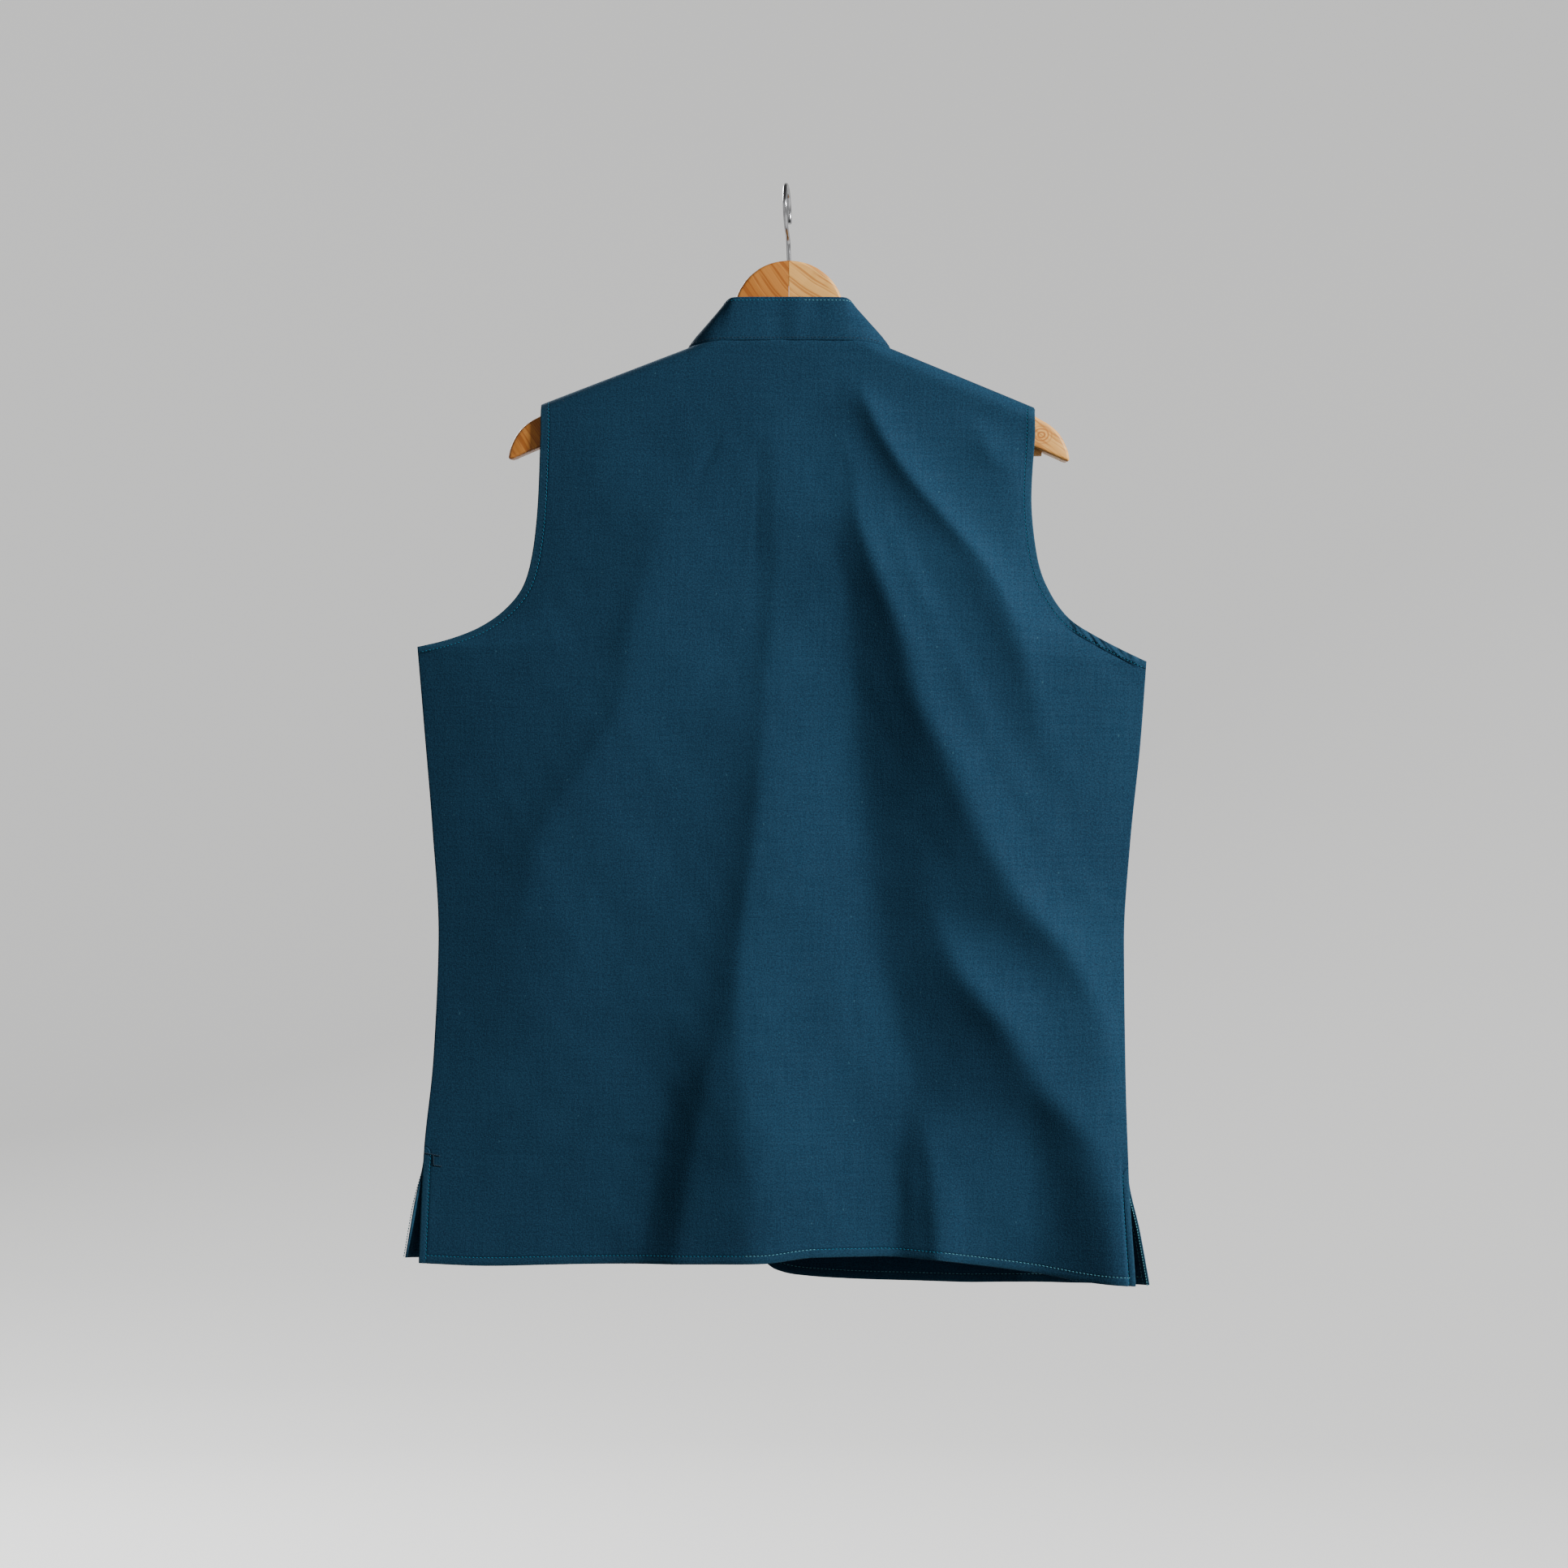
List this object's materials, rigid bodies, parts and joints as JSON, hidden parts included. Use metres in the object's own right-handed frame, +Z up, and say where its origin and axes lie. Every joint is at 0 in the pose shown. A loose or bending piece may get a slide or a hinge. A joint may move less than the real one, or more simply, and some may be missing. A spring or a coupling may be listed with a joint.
{
  "type": "nehru jacket on a wooden hanger",
  "caption": "Sleeveless stand-collar jacket, buttoned up, with side vents, hung on a curved wooden hanger with a wire hook.",
  "frame": {"origin": "inside top of the hanger's hook, where a rail holds it", "axes": "+Z up, -Y out of the jacket's back, so +Y is its buttoned front and -X the wearer's left"},
  "size_m": [0.5856, 0.075, 0.8674],
  "materials": {
    "cloth": "plain woven cotton, matt with a soft sheen",
    "button": "dull resin",
    "wood_dark": "satin lacquer",
    "wood_pale": "satin lacquer",
    "wire": "polished"
  },
  "bodies": {
    "root": {"back": "cloth", "front_left": "cloth", "front_right": "cloth", "collar": "cloth", "button_1": "button", "button_2": "button", "button_3": "button", "button_4": "button", "button_5": "button", "hanger_arm_left": "wood_dark", "hanger_arm_right": "wood_pale", "trouser_bar": "wood_pale", "hook": "wire"}
  },
  "joints": []
}
